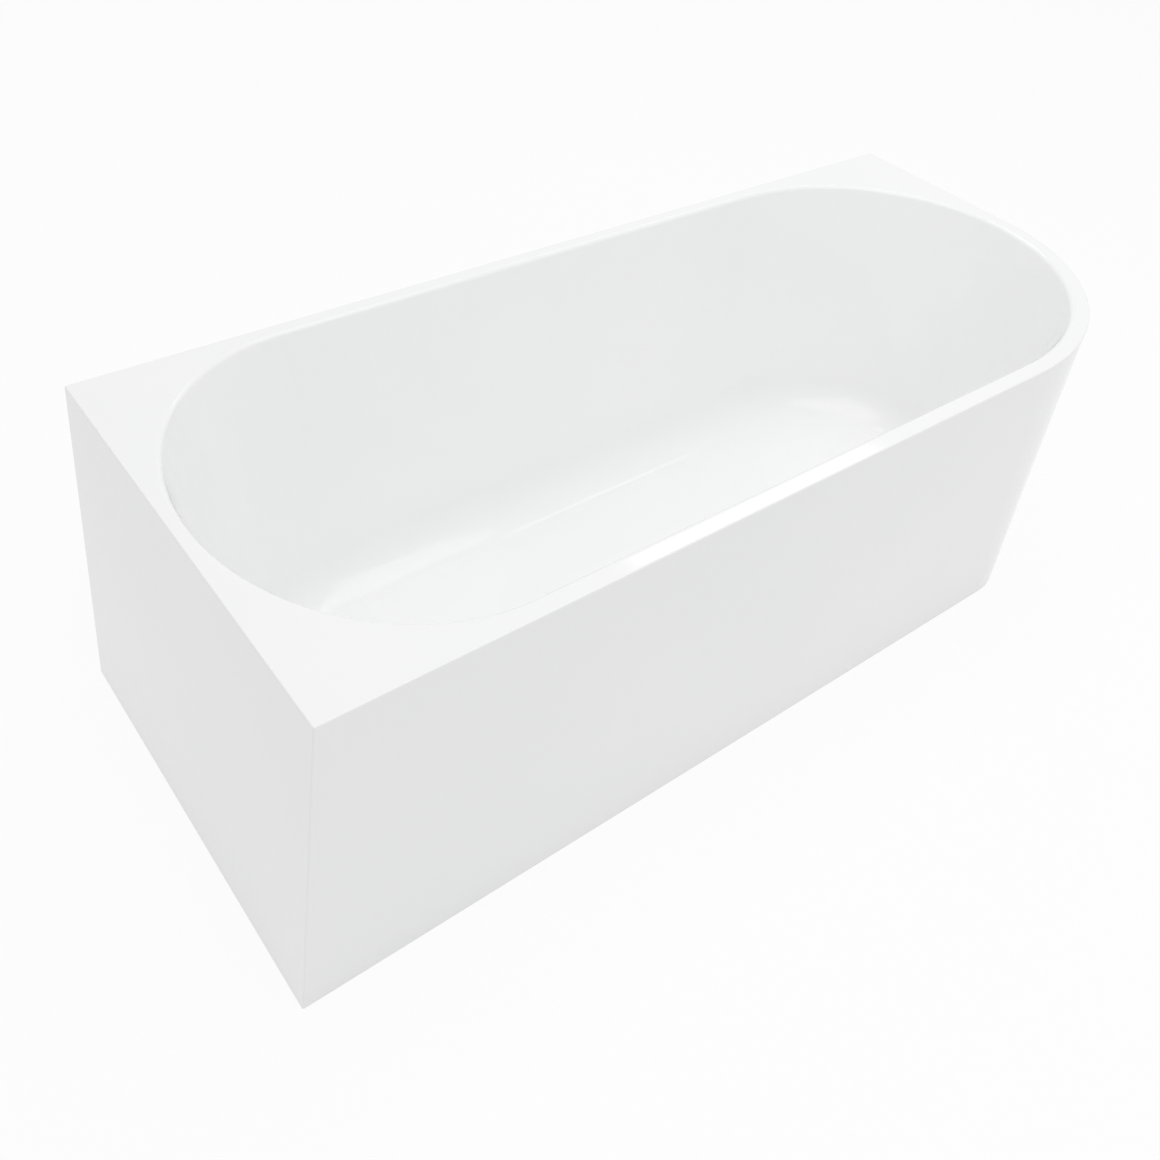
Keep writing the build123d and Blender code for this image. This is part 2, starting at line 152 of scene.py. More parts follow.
class WasteSizes(bpy.types.PropertyGroup):
    """Sizes of the pop-up waste."""

    pitch: length_setting("Thread pitch", "Pitch of the waste's pipe thread", 2.309)
    thread_depth: length_setting("Thread depth", "From crest to root", 1.48)
    thread_chamfer: length_setting("Thread lead-in", "Chamfer at the ends of the thread", 1.2)
    flange_thickness: length_setting("Flange thickness", "Edge of the flange in the dish", 2.5)
    barrel_radius: length_setting("Barrel radius", "Outside of the thread", 23.9)
    bore: length_setting("Bore radius", "Inside of the barrel", 20.0)
    seat: length_setting("Seat depth", "Depth of the coned seat", 4.0)
    relief_bottom: length_setting("Relief level", "Underside of the groove under the nut", 100.2)
    relief_width: length_setting("Relief width", "Height of the groove", 3.0)
    relief_depth: length_setting("Relief depth", "Depth of the groove", 1.2)
    web_bottom: length_setting("Web level", "Underside of the web above the floor", 108.0)
    web_height: length_setting("Web height", "Height of the web", 8.0)
    web_thickness: length_setting("Web thickness", "Thickness of an arm", 3.0)
    hub_radius: length_setting("Hub radius", "Outside of the web's hub", 11.0)
    hub_bore: length_setting("Hub bore", "Hole for the cartridge", 8.05)
    arms: IntProperty(name="Arms", description="Arms of the web", default=3, min=2)


class FrameSizes(bpy.types.PropertyGroup):
    """Sizes of the welds on the steel frame."""

    bead_radius: length_setting("Weld bead", "Radius of a bead of weld", 2.6)
    bead_length: length_setting("Bead length", "Bead along the side of a rail", 24.0)
    tack_length: length_setting("Tack length", "Tack beside a nut", 9.0)
    ripple: length_setting("Ripple", "Distance between two ripples", 1.6)


class StudioSettings(bpy.types.PropertyGroup):
    """Camera and lamps."""

    camera_place: FloatVectorProperty(
        name="Camera place", description="Eye point of the photograph", size=3,
        default=(-1.2856, -1.1482, 1.6371), subtype="TRANSLATION", unit="LENGTH",
    )
    heading: angle_setting("Heading", "Direction of view from the bath's length", 49.252)
    tilt: angle_setting("Tilt", "View below the horizon", 32.182)
    roll: angle_setting("Roll", "Camera turned round its view", 6.317)
    focal_pixels: number_setting("Focal length", "In picture pixels", 1291.4)
    centre_across: number_setting("Lens axis across", "In picture pixels", 545.0)
    centre_down: number_setting("Lens axis down", "In picture pixels", 325.0)
    picture_side: number_setting("Picture side", "In picture pixels", 1160.0)
    ambient: number_setting("Ambient", "Even light from all round", 0.69)
    softbox_power: number_setting("Softbox", "Lamp above the right end", 2.8, "POWER")
    overhead_power: number_setting("Overhead", "Large panel overhead", 30.0, "POWER")
    floor_white: share_setting("Floor white", "Plain white in the floor that is seen", 0.90)


# Modelling

def place_of(node):
    """Middle of a CAD node in plan, with its lowest and highest level."""
    low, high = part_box(node)
    return Vector(((low[0] + high[0]) / 2, (low[1] + high[1]) / 2, 0)), low[2], high[2]


def everything(shape):
    """All points, edges and faces of a shape."""
    return shape.verts[:] + shape.edges[:] + shape.faces[:]


def only(items, kind):
    """Items of one kind from the result of an operator."""
    return [item for item in items if isinstance(item, kind)]


def turned(profile, steps, closed=True):
    """Shape turned round Z from a few points of (radius, level)."""
    shape = bmesh.new()
    points = [shape.verts.new((radius, 0, level)) for radius, level in profile]
    edges = [shape.edges.new(pair) for pair in zip(points, points[1:])]
    if closed:
        edges.append(shape.edges.new((points[-1], points[0])))
    bmesh.ops.spin(
        shape, geom=points + edges, cent=(0, 0, 0), axis=(0, 0, 1), dvec=(0, 0, 0),
        angle=math.tau, steps=steps, use_merge=True,
    )
    bmesh.ops.remove_doubles(shape, verts=shape.verts, dist=SAME_POINT)
    return shape


def repeat_round(shape, count):
    """Copies of a shape at even steps round Z."""
    bmesh.ops.spin(
        shape, geom=everything(shape), cent=(0, 0, 0), axis=(0, 0, 1),
        dvec=(0, 0, 0), angle=math.tau * (count - 1) / count, steps=count - 1, use_duplicate=True,
    )


def soften(shape, width):
    """Round the sharp edges."""
    edges = [edge for edge in shape.edges if edge.calc_face_angle(0) > SHARP_TURN]
    bmesh.ops.bevel(
        shape, geom=edges, offset=width, offset_type="OFFSET", segments=2, profile=0.5,
        affect="EDGES", material=-1, clamp_overlap=True,
    )


def add_shape(target, shape, place=Matrix()):
    """Put a shape into another one and free it."""
    bmesh.ops.recalc_face_normals(shape, faces=shape.faces)
    bmesh.ops.transform(shape, matrix=place, verts=shape.verts)
    carrier = bpy.data.meshes.new("carrier")
    shape.to_mesh(carrier)
    shape.free()
    target.from_mesh(carrier)
    bpy.data.meshes.remove(carrier)


def cut_level(shape, level, side):
    """Cut a shape off square at a level."""
    bmesh.ops.bisect_plane(
        shape, geom=everything(shape),
        plane_co=(0, 0, level), plane_no=(0, 0, side), clear_outer=True,
    )


def pull_in(vert, limit):
    """Bring a point no further than a limit from the Z axis."""
    across = math.hypot(vert.co.x, vert.co.y)
    if across > limit:
        vert.co.x *= limit / across
        vert.co.y *= limit / across


def wound_thread(radius, depth, pitch, bottom, top, steps, chamfer):
    """Right-hand thread made by winding one tooth round Z, open at both ends."""
    shape = bmesh.new()
    turns = math.ceil((top - bottom) / pitch) + 2
    root = radius - depth
    tooth = ((root, 0), (root, 0.25), (radius, 0.5625), (radius, 0.6875), (root, 1))
    points = [shape.verts.new((across, 0, bottom + (share - 1) * pitch)) for across, share in tooth]
    edges = [shape.edges.new(pair) for pair in zip(points, points[1:])]
    bmesh.ops.spin(
        shape, geom=points + edges, cent=(0, 0, 0), axis=(0, 0, 1), dvec=(0, 0, pitch / steps),
        angle=math.tau * turns, steps=steps * turns, use_merge=False,
    )
    bmesh.ops.remove_doubles(shape, verts=shape.verts, dist=10 * SAME_POINT)
    cut_level(shape, bottom, -1)
    cut_level(shape, top, 1)
    for vert in shape.verts:
        pull_in(vert, radius - chamfer + min(vert.co.z - bottom, top - vert.co.z))
    return shape


def clip_corners(shape, radius, level, side):
    """Cut a shallow cone off the end of a prism, facet by facet."""
    facets, slope = 24, math.radians(30)
    for number in range(facets):
        angle = math.tau * (number + 0.5) / facets
        outward = Vector((math.cos(angle), math.sin(angle), 0))
        normal = outward * math.sin(slope) + Vector((0, 0, side * math.cos(slope)))
        cut = bmesh.ops.bisect_plane(
            shape, geom=everything(shape),
            plane_co=outward * radius + Vector((0, 0, level)), plane_no=normal, clear_outer=True,
        )["geom_cut"]
        rim = only(cut, bmesh.types.BMEdge)
        if rim:
            bmesh.ops.contextual_create(shape, geom=rim)


def hexagon(flats, bottom, height):
    """Hexagonal prism with its corners turned off at both ends."""
    shape = bmesh.new()
    half_side = math.radians(30)
    middle = Matrix.Translation((0, 0, bottom + height / 2)) @ Matrix.Rotation(half_side, 4, "Z")
    corner = flats / 2 / math.cos(half_side)
    bmesh.ops.create_cone(
        shape, cap_ends=True, segments=6, radius1=corner, radius2=corner, depth=height,
        matrix=middle,
    )
    clip_corners(shape, flats * NUT_CONE, bottom, -1)
    clip_corners(shape, flats * NUT_CONE, bottom + height, 1)
    return shape


def drilled_nut(flats, bottom, height, bore):
    """Hexagonal nut with a countersunk bore."""
    shape = hexagon(flats, bottom, height)
    shape.faces.ensure_lookup_table()
    bmesh.ops.recalc_face_normals(shape, faces=shape.faces)
    ends = [face for face in shape.faces if abs(face.normal.z) > 0.999]
    sink = 0.6 * MM
    bmesh.ops.inset_individual(shape, faces=ends, thickness=flats * NUT_CONE - bore - sink)
    bmesh.ops.inset_individual(shape, faces=ends, thickness=sink, depth=-sink)
    rims = [edge for face in ends for edge in face.edges]
    bmesh.ops.delete(shape, geom=ends, context="FACES_ONLY")
    bmesh.ops.bridge_loops(shape, edges=rims)
    return shape


def weld_bead(length, radius, ripple):
    """Rippled bead of weld along X, centred on the origin."""
    shape = bmesh.new()
    ripple_steps, end_size, ripple_depth = 3, 0.45, 0.05
    sections = round(length / ripple) * ripple_steps
    step = length / sections
    bmesh.ops.create_circle(
        shape, cap_ends=True, segments=12, radius=1,
        matrix=Matrix.Translation((-length / 2, 0, 0)) @ Matrix.Rotation(math.radians(90), 4, "Y"),
    )
    shape.faces.ensure_lookup_table()
    end = shape.faces[0]
    size = 1
    for number in range(sections + 1):
        share = number / sections
        taper = min(1, end_size + 4 * min(share, 1 - share))
        wanted = radius * taper * (1 - ripple_depth * (number % ripple_steps))
        if number:
            grown = bmesh.ops.extrude_face_region(shape, geom=[end])["geom"]
            bmesh.ops.delete(shape, geom=[end], context="FACES_ONLY")
            end = only(grown, bmesh.types.BMFace)[0]
            bmesh.ops.translate(shape, vec=(step, 0, 0), verts=end.verts)
        bmesh.ops.scale(shape, vec=(1, wanted / size, wanted / size), verts=end.verts)
        size = wanted
        if not number:
            first = bmesh.ops.duplicate(shape, geom=[end])["geom"]
            bmesh.ops.reverse_faces(shape, faces=only(first, bmesh.types.BMFace))
    bmesh.ops.remove_doubles(shape, verts=shape.verts, dist=SAME_POINT)
    return shape


def finish_piece(name, shape, body, material, replaced=(), sharp=35):
    """Object from a shape, riding on a body in place of its CAD nodes."""
    bmesh.ops.recalc_face_normals(shape, faces=shape.faces)
    mesh = bpy.data.meshes.new(name)
    shape.to_mesh(mesh)
    shape.free()
    mesh.shade_smooth()
    mesh.set_sharp_from_angle(angle=math.radians(sharp))
    mesh.materials.append(material)
    piece = bpy.data.objects.new(name, mesh)
    bpy.context.scene.collection.objects.link(piece)
    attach(piece, body)
    if replaced:
        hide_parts(*replaced)
    return piece


def finish_at_feet(name, shape, body, node, material, sharp=35):
    """Copy of a shape at every foot, riding on that foot's body in place of its CAD node."""
    for number in FEET:
        replaced = f"{node}_{number}"
        placed = shape.copy()
        bmesh.ops.translate(placed, vec=place_of(replaced)[0], verts=placed.verts)
        finish_piece(
            name.format(number), placed, f"{body}_{number}", material, [replaced], sharp
        )
    shape.free()


def dress(material, *nodes):
    """Give CAD nodes their finished material."""
    for node in nodes:
        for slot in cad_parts[node].material_slots:
            slot.material = material


# Shader building

def feed(tree, socket, value):
    """Link a socket to another, or set its value."""
    if isinstance(value, bpy.types.NodeSocket):
        tree.links.new(value, socket)
    elif socket.type == "RGBA" and len(value) == 3:
        socket.default_value = (*value, 1)
    else:
        socket.default_value = value


def add_node(tree, kind, settings=None, **inputs):
    """Node with its settings and its inputs by name."""
    made = tree.nodes.new(kind)
    for name, value in (settings or {}).items():
        setattr(made, name, value)
    for name, value in inputs.items():
        feed(tree, made.inputs[name.replace("_", " ")], value)
    return made


def maths(tree, operation, *values):
    """Result of a Math node."""
    made = add_node(tree, "ShaderNodeMath", {"operation": operation})
    for socket, value in zip(made.inputs, values):
        feed(tree, socket, value)
    return made.outputs[0]


def mix_colours(tree, share, first, second, blend="MIX"):
    """Colour between two colours."""
    made = add_node(tree, "ShaderNodeMix", {"data_type": "RGBA", "blend_type": blend})
    for index, value in ((0, share), (6, first), (7, second)):
        feed(tree, made.inputs[index], value)
    return made.outputs[2]


def toned(tree, colour, tone):
    """Colour multiplied by a tone."""
    return mix_colours(tree, 1.0, colour, tone, "MULTIPLY")


def mix_values(tree, share, first, second):
    """Value between two values."""
    made = add_node(tree, "ShaderNodeMix", {"data_type": "FLOAT"})
    for index, value in ((0, share), (2, first), (3, second)):
        feed(tree, made.inputs[index], value)
    return made.outputs[0]


def rise(tree, value, start, end, low=0.0, high=1.0):
    """Value that rises smoothly from low to high between a start and an end."""
    made = add_node(
        tree, "ShaderNodeMapRange", {"interpolation_type": "SMOOTHSTEP"},
        Value=value, From_Min=start, From_Max=end, To_Min=low, To_Max=high,
    )
    return made.outputs[0]


def noise(tree, vector, scale, detail=2.0, roughness=0.5):
    """Value of a noise texture."""
    made = add_node(
        tree, "ShaderNodeTexNoise", Vector=vector, Scale=scale, Detail=detail, Roughness=roughness
    )
    return made.outputs["Fac"]


def mapped(tree, vector, scale=(1, 1, 1), turn=(0, 0, 0), move=(0, 0, 0)):
    """Coordinates moved, turned and stretched."""
    made = add_node(
        tree, "ShaderNodeMapping", Vector=vector, Location=move, Rotation=turn, Scale=scale
    )
    return made.outputs[0]


def new_group(name, inputs, outputs):
    """Empty shader group with named sockets, and its two ends."""
    group = bpy.data.node_groups.new(name, "ShaderNodeTree")
    for label, kind, *default in inputs:
        socket = group.interface.new_socket(label, in_out="INPUT", socket_type=kind)
        if default:
            socket.default_value = default[0]
    for label, kind in outputs:
        group.interface.new_socket(label, in_out="OUTPUT", socket_type=kind)
    given = group.nodes.new("NodeGroupInput").outputs
    return group, given, group.nodes.new("NodeGroupOutput").inputs


def use_group(tree, builder, **inputs):
    """Place a shader group in a material, building it the first time."""
    group = bpy.data.node_groups.get(builder.__name__) or builder()
    return add_node(tree, "ShaderNodeGroup", {"node_tree": group}, **inputs).outputs


FLOAT, COLOUR, VECTOR = "NodeSocketFloat", "NodeSocketColor", "NodeSocketVector"


def settled_dust():
    """Dust on faces that look up, thicker in patches."""
    group, given, out = new_group(
        "settled_dust", (("Vector", VECTOR), ("Normal", VECTOR), ("Amount", FLOAT, 0.5)),
        (("Mask", FLOAT),),
    )
    upward = add_node(group, "ShaderNodeSeparateXYZ", Vector=given["Normal"]).outputs["Z"]
    facing = rise(group, upward, 0.2, 0.95)
    patches = rise(group, noise(group, given["Vector"], 24, 5, 0.65), 0.38, 0.72)
    specks = rise(group, noise(group, given["Vector"], 900, 2), 0.60, 0.72)
    cover = maths(group, "MAXIMUM", patches, maths(group, "MULTIPLY", specks, 0.7))
    covered = maths(group, "MULTIPLY", facing, cover)
    feed(group, out["Mask"], maths(group, "MULTIPLY", covered, given["Amount"]))
    return group


def gloss_sheet():
    """Polished sheet: near even colour, slight smears in the gloss, slight waves from forming."""
    group, given, out = new_group(
        "gloss_sheet", (("Vector", VECTOR), ("Color", COLOUR), ("Roughness", FLOAT, 0.08)),
        (("Color", COLOUR), ("Roughness", FLOAT), ("Height", FLOAT)),
    )
    cloud = rise(group, noise(group, given["Vector"], 2.1, 3), 0.3, 0.7)
    shaded = toned(group, given["Color"], (0.985, 0.988, 0.99))
    feed(group, out["Color"], mix_colours(group, cloud, shaded, given["Color"]))
    flattened = mapped(group, given["Vector"], (1, 1, 2.5))
    smear = rise(group, noise(group, flattened, 9, 4, 0.6), 0.45, 0.75)
    feed(group, out["Roughness"], maths(group, "MULTIPLY_ADD", smear, 0.05, given["Roughness"]))
    wave = maths(group, "MULTIPLY", noise(group, given["Vector"], 4.5, 1), 0.35)
    peel = maths(group, "MULTIPLY", noise(group, given["Vector"], 320, 1), 0.0012)
    feed(group, out["Height"], maths(group, "ADD", wave, peel))
    return group


def glass_fibre_backing():
    """Sprayed resin with chopped glass strands."""
    group, given, out = new_group(
        "glass_fibre_backing",
        (("Vector", VECTOR), ("Resin", COLOUR), ("Strand", COLOUR)),
        (("Color", COLOUR), ("Roughness", FLOAT), ("Height", FLOAT)),
    )
    strands = 0.0
    turns = (0, 0.35, 0.2), (0.2, -0.6, 0.9), (0, 1.25, -0.5), (0.3, -1.2, 1.9), (0, 0.8, 2.6)
    for turn in turns:
        lying = mapped(group, given["Vector"], turn=turn)
        layer = noise(group, mapped(group, lying, (26, 480, 480)), 1, 1)
        strands = maths(group, "MAXIMUM", strands, rise(group, layer, 0.64, 0.72))
    lumps = noise(group, given["Vector"], 45, 4, 0.6)
    resin = mix_colours(
        group, rise(group, lumps, 0.3, 0.7),
        toned(group, given["Resin"], (0.82, 0.80, 0.76)), given["Resin"],
    )
    shown = maths(group, "MULTIPLY", strands, 0.75)
    feed(group, out["Color"], mix_colours(group, shown, resin, given["Strand"]))
    feed(group, out["Roughness"], mix_values(group, strands, 0.38, 0.55))
    raised = maths(group, "MULTIPLY_ADD", strands, 0.18, maths(group, "MULTIPLY", lumps, 1.2))
    feed(group, out["Height"], raised)
    return group


def plywood_layers():
    """Thin plies stacked along Z with crossed grain."""
    group, given, out = new_group(
        "plywood_layers", (("Vector", VECTOR), ("Face", COLOUR), ("Cross", COLOUR)),
        (("Color", COLOUR), ("Height", FLOAT)),
    )
    level = add_node(group, "ShaderNodeSeparateXYZ", Vector=given["Vector"]).outputs["Z"]
    count = maths(group, "MULTIPLY", level, 1 / (1.7 * MM))
    within = maths(group, "FRACT", count)
    other = rise(group, maths(group, "FRACT", maths(group, "MULTIPLY", count, 0.5)), 0.495, 0.505)
    along = noise(group, mapped(group, given["Vector"], (14, 330, 330)), 1, 4, 0.6)
    across = noise(group, mapped(group, given["Vector"], (330, 14, 330)), 1, 4, 0.6)
    grain = mix_values(group, other, along, across)
    crossed = mix_colours(group, 0.6, given["Face"], given["Cross"])
    ply = mix_colours(group, other, given["Face"], crossed)
    grained = mix_colours(group, rise(group, grain, 0.42, 0.66), ply, given["Cross"])
    edge = maths(group, "ABSOLUTE", maths(group, "SUBTRACT", within, 0.5))
    glue = maths(group, "MULTIPLY", rise(group, edge, 0.44, 0.5), 0.65)
    feed(group, out["Color"], mix_colours(group, glue, grained, (0.16, 0.09, 0.05)))
    raised = maths(group, "MULTIPLY", grain, 0.16)
    feed(group, out["Height"], maths(group, "MULTIPLY_ADD", glue, -0.10, raised))
    return group


def zinc_plating():
    """Bright zinc with faint passivation tints, crystals and handling marks."""
    group, given, out = new_group(
        "zinc_plating",
        (("Vector", VECTOR), ("Streaks", VECTOR), ("Cool", COLOUR), ("Warm", COLOUR)),
        (("Color", COLOUR), ("Roughness", FLOAT), ("Height", FLOAT)),
    )
    tint = rise(group, noise(group, given["Vector"], 28, 4, 0.6), 0.35, 0.68)
    crystal = add_node(
        group, "ShaderNodeTexVoronoi", {"feature": "F1"}, Vector=given["Vector"], Scale=420.0
    ).outputs["Color"]
    spark = add_node(group, "ShaderNodeSeparateColor", Color=crystal).outputs["Red"]
    streak = noise(group, given["Streaks"], 1, 3, 0.6)
    plated = mix_colours(group, tint, given["Cool"], given["Warm"])
    dull = toned(group, plated, (0.80, 0.80, 0.80))
    marked = maths(group, "MULTIPLY", streak, spark)
    feed(group, out["Color"], mix_colours(group, marked, plated, dull))
    uneven = maths(group, "MULTIPLY_ADD", spark, 0.08, rise(group, streak, 0.3, 0.7, 0.26, 0.40))
    feed(group, out["Roughness"], maths(group, "MULTIPLY_ADD", tint, 0.06, uneven))
    feed(group, out["Height"], maths(group, "MULTIPLY", streak, 0.012))
    return group


def moulded_grain():
    """Fine spark-eroded grain and soft mottling of moulded plastic or rubber."""
    group, given, out = new_group(
        "moulded_grain", (("Vector", VECTOR), ("Color", COLOUR), ("Depth", FLOAT, 0.02)),
        (("Color", COLOUR), ("Roughness", FLOAT), ("Height", FLOAT)),
    )
    grain = noise(group, given["Vector"], 1500, 2)
    mottle = rise(group, noise(group, given["Vector"], 60, 4, 0.6), 0.3, 0.7)
    darker = toned(group, given["Color"], (0.86, 0.86, 0.87))
    feed(group, out["Color"], mix_colours(group, mottle, darker, given["Color"]))
    feed(group, out["Roughness"], rise(group, mottle, 0, 1, 0.44, 0.56))
    feed(group, out["Height"], maths(group, "MULTIPLY", grain, given["Depth"]))
    return group


def start_material(name, metallic=0.0, ior=1.5):
    """New material with its tree, its shader, and the object's coordinates and normal."""
    material = bpy.data.materials.new(name)
    material.use_nodes = True
    tree = material.node_tree
    shader = tree.nodes["Principled BSDF"]
    shader.inputs["Metallic"].default_value = metallic
    shader.inputs["IOR"].default_value = ior
    coordinates = tree.nodes.new("ShaderNodeTexCoord").outputs
    return material, tree, shader, coordinates["Object"], coordinates["Normal"]


def surface(tree, shader, colour, roughness, height):
    """Feed the shader with a colour, a roughness and a height in millimetres."""
    feed(tree, shader.inputs["Base Color"], colour)
    feed(tree, shader.inputs["Roughness"], roughness)
    bump = add_node(tree, "ShaderNodeBump", Height=height, Distance=MM, Strength=1.0)
    feed(tree, shader.inputs["Normal"], bump.outputs[0])


def dust_mask(tree, place, normal, amount):
    """Mask of the dust on a material."""
    return use_group(tree, settled_dust, Vector=place, Normal=normal, Amount=amount)["Mask"]


def acrylic_material(name, finishes, behind):
    """Gloss sheet in front and glass-fibre backing behind, told apart by a mask."""
    material, tree, shader, place, normal = start_material(name, ior=1.49)
    mask = behind(tree, place, normal)
    sheet = use_group(
        tree, gloss_sheet,
        Vector=place, Color=finishes.acrylic, Roughness=finishes.acrylic_roughness,
    )
    backing = use_group(
        tree, glass_fibre_backing, Vector=place, Resin=finishes.resin, Strand=finishes.strand
    )
    surface(
        tree, shader,
        mix_colours(tree, mask, sheet["Color"], backing["Color"]),
        mix_values(tree, mask, sheet["Roughness"], backing["Roughness"]),
        mix_values(tree, mask, sheet["Height"], backing["Height"]),
    )
    return material


def under_tub(tree, place, normal):
    """Mask of the faces of the tub that look down."""
    level = add_node(tree, "ShaderNodeSeparateXYZ", Vector=normal).outputs["Z"]
    return rise(tree, level, -0.01, -0.05)


def inside_skirt(tree, place, normal):
    """Mask of the faces of the skirt that look towards the bath's middle line."""
    flat_place = add_node(tree, "ShaderNodeVectorMath", {"operation": "MULTIPLY"})
    feed(tree, flat_place.inputs[0], place)
    feed(tree, flat_place.inputs[1], (1, 1, 0))
    facing = add_node(tree, "ShaderNodeVectorMath", {"operation": "DOT_PRODUCT"})
    feed(tree, facing.inputs[0], flat_place.outputs[0])
    feed(tree, facing.inputs[1], normal)
    return rise(tree, facing.outputs["Value"], -0.02, -0.08)


def adhesive_material(finishes):
    """Gunned bead with lumps and a skin."""
    material, tree, shader, place, normal = start_material("adhesive_bead")
    lumps = noise(tree, place, 90, 3, 0.6)
    aged = toned(tree, finishes.adhesive, (0.88, 0.84, 0.74))
    surface(
        tree, shader, mix_colours(tree, rise(tree, lumps, 0.35, 0.7), finishes.adhesive, aged),
        rise(tree, lumps, 0.3, 0.7, 0.32, 0.5), maths(tree, "MULTIPLY", lumps, 0.9),
    )
    return material


def particle_material(finishes):
    """Pressed chips of several sizes, flat in the board."""
    material, tree, shader, place, normal = start_material("pressed_chips")
    flat = mapped(tree, place, (1, 1, 2.6))
    colour, height = None, 0.0
    for scale, share in ((210.0, 1.0), (450.0, 0.55)):
        chips = add_node(tree, "ShaderNodeTexVoronoi", {"feature": "F1"}, Vector=flat, Scale=scale)
        split = add_node(tree, "ShaderNodeSeparateColor", Color=chips.outputs["Color"])
        tone = split.outputs["Red"]
        dark = rise(tree, tone, 0.35, 0.95)
        layer = mix_colours(tree, dark, finishes.chip_light, finishes.chip_dark)
        colour = layer if colour is None else mix_colours(tree, share, colour, layer)
        height = maths(tree, "MULTIPLY_ADD", tone, 0.10 * share, height)
    fibre = noise(tree, mapped(tree, place, (60, 520, 520), (0, 0, 0.5)), 1, 3)
    colour = mix_colours(tree, maths(tree, "MULTIPLY", fibre, 0.35), colour, finishes.chip_dark)
    dust = dust_mask(tree, place, normal, 0.35)
    surface(
        tree, shader, mix_colours(tree, dust, colour, finishes.dust),
        rise(tree, fibre, 0.3, 0.7, 0.62, 0.8), maths(tree, "MULTIPLY_ADD", fibre, 0.12, height),
    )
    return material


def plywood_material(name, finishes, turn):
    """Plywood whose plies lie across the direction given by a turn."""
    material, tree, shader, place, normal = start_material(name)
    layers = use_group(
        tree, plywood_layers, Vector=mapped(tree, place, turn=turn, move=(0, 0, 0.45 * MM)),
        Face=finishes.ply_light, Cross=finishes.ply_dark,
    )
    dust = dust_mask(tree, place, normal, 0.35)
    surface(
        tree, shader, mix_colours(tree, dust, layers["Color"], finishes.dust),
        mix_values(tree, dust, 0.58, 0.85), layers["Height"],
    )
    return material


def zinc_material(name, finishes, stretch):
    """Zinc-plated steel with drawing streaks along one direction."""
    material, tree, shader, place, normal = start_material(name, metallic=1.0)
    zinc = use_group(
        tree, zinc_plating, Vector=place, Streaks=mapped(tree, place, stretch),
        Cool=finishes.zinc_cool, Warm=finishes.zinc_warm,
    )
    dust = dust_mask(tree, place, normal, 0.45)
    surface(
        tree, shader, mix_colours(tree, dust, zinc["Color"], finishes.dust),
        mix_values(tree, dust, zinc["Roughness"], 0.8), zinc["Height"],
    )
    feed(tree, shader.inputs["Metallic"], maths(tree, "SUBTRACT", 1.0, dust))
    return material


def weld_material(finishes):
    """Weld metal under zinc, with heat tints."""
    material, tree, shader, place, normal = start_material("weld_metal", metallic=1.0)
    tint = rise(tree, noise(tree, place, 260, 3), 0.35, 0.65)
    colour = mix_colours(tree, tint, (0.33, 0.32, 0.31), finishes.zinc_warm)
    roughness = rise(tree, tint, 0, 1, 0.5, 0.34)
    surface(tree, shader, colour, roughness, maths(tree, "MULTIPLY", tint, 0.04))
    return material


def moulded_material(name, colour, depth, dust_amount, finishes):
    """Moulded plastic or rubber with a fine grain and some dust."""
    material, tree, shader, place, normal = start_material(name)
    grain = use_group(tree, moulded_grain, Vector=place, Color=colour, Depth=depth)
    dust = dust_mask(tree, place, normal, dust_amount)
    surface(
        tree, shader, mix_colours(tree, dust, grain["Color"], finishes.dust),
        mix_values(tree, dust, grain["Roughness"], 0.85), grain["Height"],
    )
    return material


def chrome_material(finishes):
    """Polished chrome with wiped smears and water marks."""
    material, tree, shader, place, normal = start_material("polished_chrome", metallic=1.0)
    smear = rise(tree, noise(tree, place, 70, 5, 0.65), 0.45, 0.75)
    marks = rise(tree, noise(tree, place, 420, 1), 0.62, 0.70)
    dull = toned(tree, finishes.chrome, (0.90, 0.90, 0.91))
    surface(
        tree, shader, mix_colours(tree, smear, finishes.chrome, dull),
        maths(tree, "MULTIPLY_ADD", marks, 0.06, rise(tree, smear, 0, 1, 0.045, 0.11)),
        maths(tree, "MULTIPLY", smear, 0.002),
    )
    return material


# Operators

class BATH_OT_shells(bpy.types.Operator):
    """Finish the tub, the skirt and the adhesive between them"""

    bl_idname = "bath.shells"
    bl_label = "Finish Shells"

    def execute(self, context):
        finishes = context.scene.bath_finishes
        dress(acrylic_material("tub_acrylic", finishes, under_tub), "tub_shell")
        dress(acrylic_material("skirt_acrylic", finishes, inside_skirt), "skirt_shell")
        dress(adhesive_material(finishes), "rim_bond_bead")
        return {"FINISHED"}


class BATH_OT_boards(bpy.types.Operator):
    """Finish the base board and the plywood stiffeners"""

    bl_idname = "bath.boards"
    bl_label = "Finish Boards"

    def execute(self, context):
        finishes = context.scene.bath_finishes
        dress(particle_material(finishes), "base_board")
        lying = plywood_material("plywood_lying", finishes, (0, 0, 0))
        dress(lying, "deck_pad_front_left", "deck_pad_back_left", "deck_pad_back_right")
        standing = plywood_material("plywood_standing", finishes, (math.radians(90), 0, 0))
        dress(standing, "back_batten", "front_stiffener")
        dress(standing, "skirt_block_left", "skirt_block_middle", "skirt_block_right")
        return {"FINISHED"}


